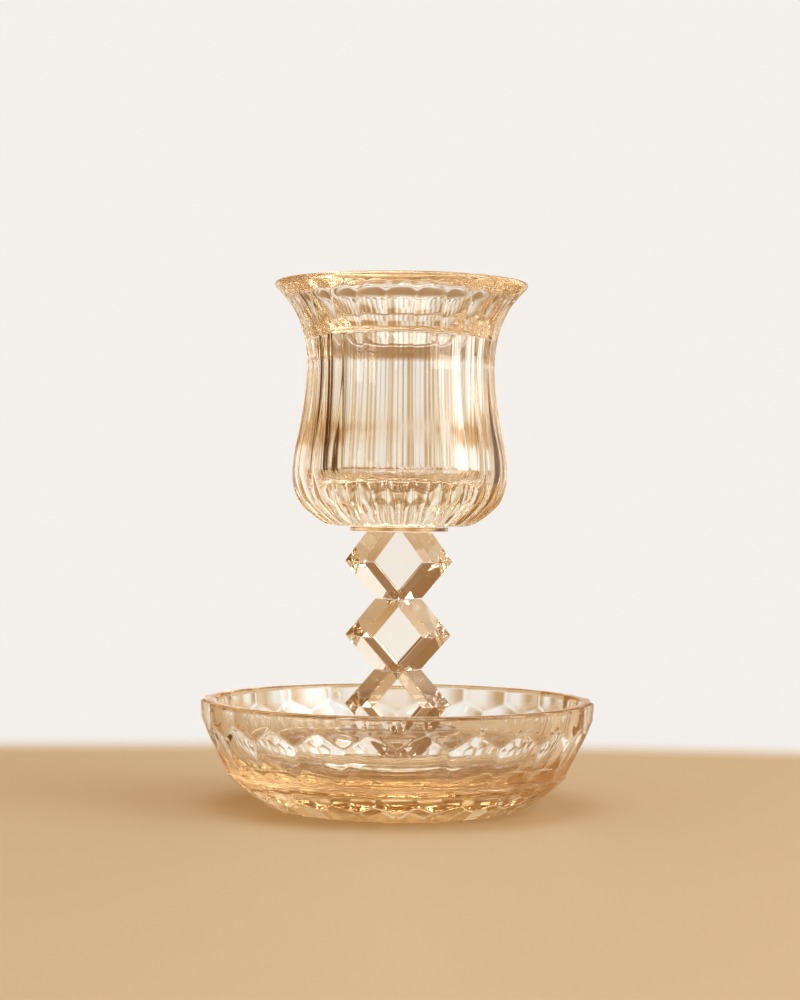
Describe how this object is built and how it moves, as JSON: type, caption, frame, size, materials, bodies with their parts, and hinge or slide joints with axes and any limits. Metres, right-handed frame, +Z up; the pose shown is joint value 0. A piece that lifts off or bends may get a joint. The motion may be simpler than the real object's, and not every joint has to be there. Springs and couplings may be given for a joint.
{
  "type": "kiddush cup with saucer",
  "caption": "Pale amber crystal kiddush cup: fluted thick-walled bowl on a stem of faceted gems, standing on a round foot in a faceted saucer bowl.",
  "frame": {"origin": "centre of the saucer's foot, on the table", "axes": "+Z up along the cup's axis, front (a flute's middle and a gem's flat lozenge) towards -Y, X to the right seen from the front"},
  "size_m": [0.1298, 0.1298, 0.1741],
  "materials": {
    "pale_amber_crystal": "clear, polished",
    "amber_crystal": "clear, polished, facet cut"
  },
  "bodies": {
    "root": {"saucer_bowl": "pale_amber_crystal", "cup_foot": "pale_amber_crystal", "stem_gem_bottom": "amber_crystal", "stem_gem_middle": "amber_crystal", "stem_gem_top": "amber_crystal", "bowl_seat": "amber_crystal", "cup_bowl": "pale_amber_crystal"}
  },
  "joints": []
}
